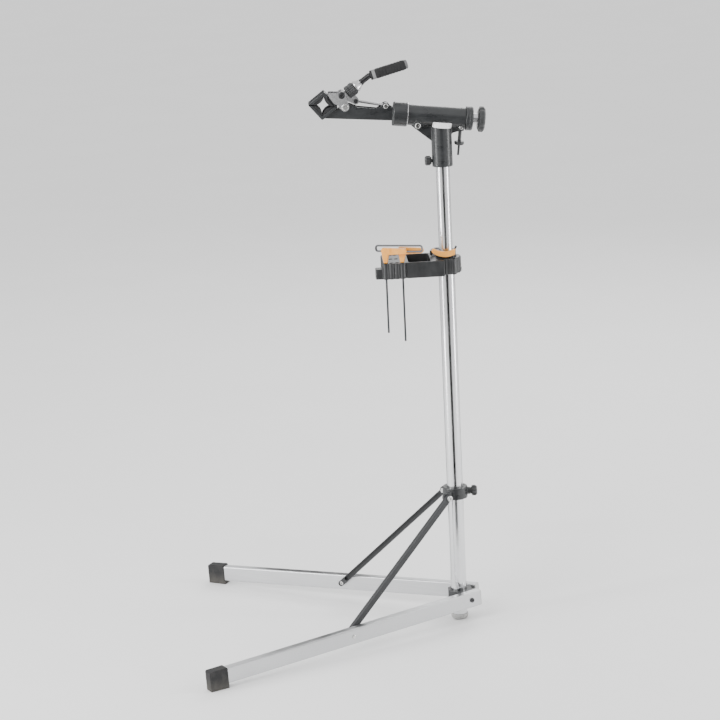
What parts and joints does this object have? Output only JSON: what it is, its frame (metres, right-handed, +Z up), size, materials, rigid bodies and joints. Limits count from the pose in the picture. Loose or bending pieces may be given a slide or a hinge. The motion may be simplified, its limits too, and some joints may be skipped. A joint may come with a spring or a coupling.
{
  "type": "bicycle repair stand",
  "caption": "Folding repair stand: upright on spread hinged legs, height-adjustable post, rotating quick-grip clamp and a tool tray.",
  "frame": {"origin": "middle of the upright's foot, on the floor", "axes": "+Z up along the upright; the clamp arm and the legs reach towards -X"},
  "size_m": [0.7249, 0.7832, 1.3748],
  "materials": {
    "tube_silver": "anodised satin",
    "leg_silver": "anodised satin",
    "cast_black": "satin black powder coat",
    "strut_black": "satin black paint",
    "plastic_black": "moulded, fine texture",
    "neck_black": "glossy moulding",
    "bush_plastic": "acetal",
    "foot_grey": "light grey rubber",
    "foot_rubber": "black rubber",
    "pad_rubber": "soft black rubber",
    "grip_cap_grey": "grey rubber",
    "steel_bright": "brushed",
    "bolt_steel": "zinc plated",
    "bolt_black": "black oxide",
    "blade_steel": "blackened tool steel",
    "wrench_orange": "orange moulding",
    "badge_white": "plain white plate"
  },
  "bodies": {
    "upright": {"lower_tube": "tube_silver", "foot_cap": "foot_grey", "base_bracket": "cast_black", "bracket_screws": "bolt_steel", "leg_pivot_bolts": "bolt_black", "guide_sleeve": "bush_plastic", "height_clamp": "cast_black", "height_bolt": "bolt_steel"},
    "height_lever": {"height_lever": "cast_black"},
    "spreader": {"spreader_collar": "cast_black", "spreader_bush": "plastic_black", "strut_top_bolts": "bolt_steel"},
    "spreader_knob": {"spreader_knob": "plastic_black"},
    "leg_near": {"leg_near": "leg_silver", "leg_plug_near": "foot_grey", "leg_foot_near": "foot_rubber", "leg_bolt_near": "bolt_steel"},
    "leg_far": {"leg_far": "leg_silver", "leg_plug_far": "foot_grey", "leg_foot_far": "foot_rubber", "leg_bolt_far": "bolt_steel"},
    "strut_near": {"strut_near": "strut_black", "strut_bolt_near": "bolt_steel"},
    "strut_far": {"strut_far": "strut_black", "strut_bolt_far": "bolt_steel"},
    "tray": {"tray": "plastic_black", "tray_screw": "bolt_steel"},
    "wrench_1": {"wrench_handle_1": "wrench_orange", "wrench_blade_1": "blade_steel"},
    "wrench_2": {"wrench_handle_2": "wrench_orange", "wrench_blade_2": "blade_steel"},
    "wrench_3": {"wrench_handle_3": "wrench_orange", "wrench_blade_3": "blade_steel"},
    "upper_tube": {"upper_tube": "tube_silver", "upper_bush": "bush_plastic"},
    "head": {"head_housing": "cast_black", "arm_bush": "bush_plastic", "rear_ring": "cast_black", "housing_bolts": "bolt_steel", "badge": "badge_white"},
    "head_knob": {"head_knob": "plastic_black"},
    "lock_screw": {"lock_screw": "plastic_black"},
    "clamp_arm": {"arm_shaft": "steel_bright", "clamp_arm": "cast_black", "thrust_washer": "steel_bright", "lower_jaw": "cast_black", "lower_jaw_pads": "pad_rubber", "arm_pivot_bolts": "bolt_steel"},
    "rear_knob": {"rear_knob": "plastic_black"},
    "upper_jaw": {"jaw_plates": "steel_bright", "upper_jaw": "cast_black", "upper_jaw_pads": "pad_rubber", "jaw_bolts": "bolt_black"},
    "handle": {"handle_yoke": "steel_bright", "handle_neck": "neck_black", "handle_grip": "pad_rubber", "grip_cap": "grip_cap_grey", "link_pin": "bolt_black"},
    "adjuster": {"adjuster": "plastic_black"},
    "toggle_link": {"toggle_link": "steel_bright"}
  },
  "joints": [
    {"name": "height_slide", "type": "slide", "parent": "upright", "child": "upper_tube", "axis": [0, 0, 1], "range_m": [-0.18, 0.46]},
    {"name": "height_lever_turn", "type": "hinge", "parent": "upright", "child": "height_lever", "pos_m": [-0.019, 0.031, 0.9152], "axis": [0, 0, -1], "range_deg": [0, 120]},
    {"name": "spreader_slide", "type": "slide", "parent": "upright", "child": "spreader", "axis": [0, 0, 1], "range_m": [0, 0.47879]},
    {"name": "spreader_knob_turn", "type": "hinge", "parent": "spreader", "child": "spreader_knob", "pos_m": [0.0375, 0, 0.324], "axis": [1, 0, 0], "range_deg": [0, 360]},
    {"name": "leg_near_fold", "type": "hinge", "parent": "upright", "child": "leg_near", "pos_m": [0.02299, -0.03417, 0.058], "axis": [-0.4772, 0.8788, 0], "range_deg": [-0.5, 92.6]},
    {"name": "leg_far_fold", "type": "hinge", "parent": "upright", "child": "leg_far", "pos_m": [0.02299, 0.03417, 0.058], "axis": [0.4772, 0.8788, 0], "range_deg": [-0.5, 92.6]},
    {"name": "strut_near_turn", "type": "hinge", "parent": "spreader", "child": "strut_near", "pos_m": [-0.01971, -0.03915, 0.32], "axis": [0.4772, -0.8788, 0], "range_deg": [-0.5, 52.75]},
    {"name": "strut_far_turn", "type": "hinge", "parent": "spreader", "child": "strut_far", "pos_m": [-0.01971, 0.03915, 0.32], "axis": [-0.4772, -0.8788, 0], "range_deg": [-0.5, 52.75]},
    {"name": "tray_swivel", "type": "hinge", "parent": "upright", "child": "tray", "pos_m": [0, 0, 0.887], "axis": [0, 0, 1], "range_deg": [-35, 60]},
    {"name": "wrench_1_lift", "type": "slide", "parent": "tray", "child": "wrench_1", "axis": [0, 0, 1], "range_m": [0, 0.18]},
    {"name": "wrench_2_lift", "type": "slide", "parent": "tray", "child": "wrench_2", "axis": [0, 0, 1], "range_m": [0, 0.2]},
    {"name": "wrench_3_lift", "type": "slide", "parent": "tray", "child": "wrench_3", "axis": [0, 0, 1], "range_m": [0, 0.05]},
    {"name": "head_swivel", "type": "hinge", "parent": "upper_tube", "child": "head", "pos_m": [0, 0, 1.15], "axis": [0, 0, 1], "continuous": true},
    {"name": "head_knob_turn", "type": "hinge", "parent": "head", "child": "head_knob", "pos_m": [-0.0255, 0, 1.136], "axis": [-1, 0, 0], "range_deg": [0, 360]},
    {"name": "lock_screw_turn", "type": "hinge", "parent": "head", "child": "lock_screw", "pos_m": [0.04293, 0, 1.1926], "axis": [0.1184, 0, 0.993], "range_deg": [0, 360]},
    {"name": "clamp_rotate", "type": "hinge", "parent": "head", "child": "clamp_arm", "pos_m": [0, 0, 1.238], "axis": [-0.993, 0, 0.1184], "continuous": true},
    {"name": "rear_knob_turn", "type": "hinge", "parent": "clamp_arm", "child": "rear_knob", "pos_m": [0.09433, 0, 1.22675], "axis": [0.993, 0, -0.1184], "range_deg": [0, 360]},
    {"name": "jaw_open", "type": "hinge", "parent": "clamp_arm", "child": "upper_jaw", "pos_m": [-0.22229, 0, 1.27407], "axis": [0, 1, 0], "range_deg": [0, 30]},
    {"name": "handle_lift", "type": "hinge", "parent": "upper_jaw", "child": "handle", "pos_m": [-0.22903, 0, 1.30207], "axis": [0, 1, 0], "range_deg": [-81.4, 0.5]},
    {"name": "adjuster_turn", "type": "hinge", "parent": "handle", "child": "adjuster", "pos_m": [-0.21576, 0, 1.30351], "axis": [0.8089, 0, 0.5879], "continuous": true},
    {"name": "toggle_link_turn", "type": "hinge", "parent": "clamp_arm", "child": "toggle_link", "pos_m": [-0.12795, 0, 1.27138], "axis": [0, 1, 0], "range_deg": [-0.5, 28.4]}
  ],
  "couplings": [
    {"joint": "leg_near_fold", "follows": "spreader_slide", "rad_per_m": 3.3719},
    {"joint": "leg_far_fold", "follows": "spreader_slide", "rad_per_m": 3.3719},
    {"joint": "strut_near_turn", "follows": "spreader_slide", "rad_per_m": 1.9193},
    {"joint": "strut_far_turn", "follows": "spreader_slide", "rad_per_m": 1.9193},
    {"joint": "handle_lift", "follows": "jaw_open", "ratio": -2.7106},
    {"joint": "toggle_link_turn", "follows": "jaw_open", "ratio": 0.9438}
  ]
}
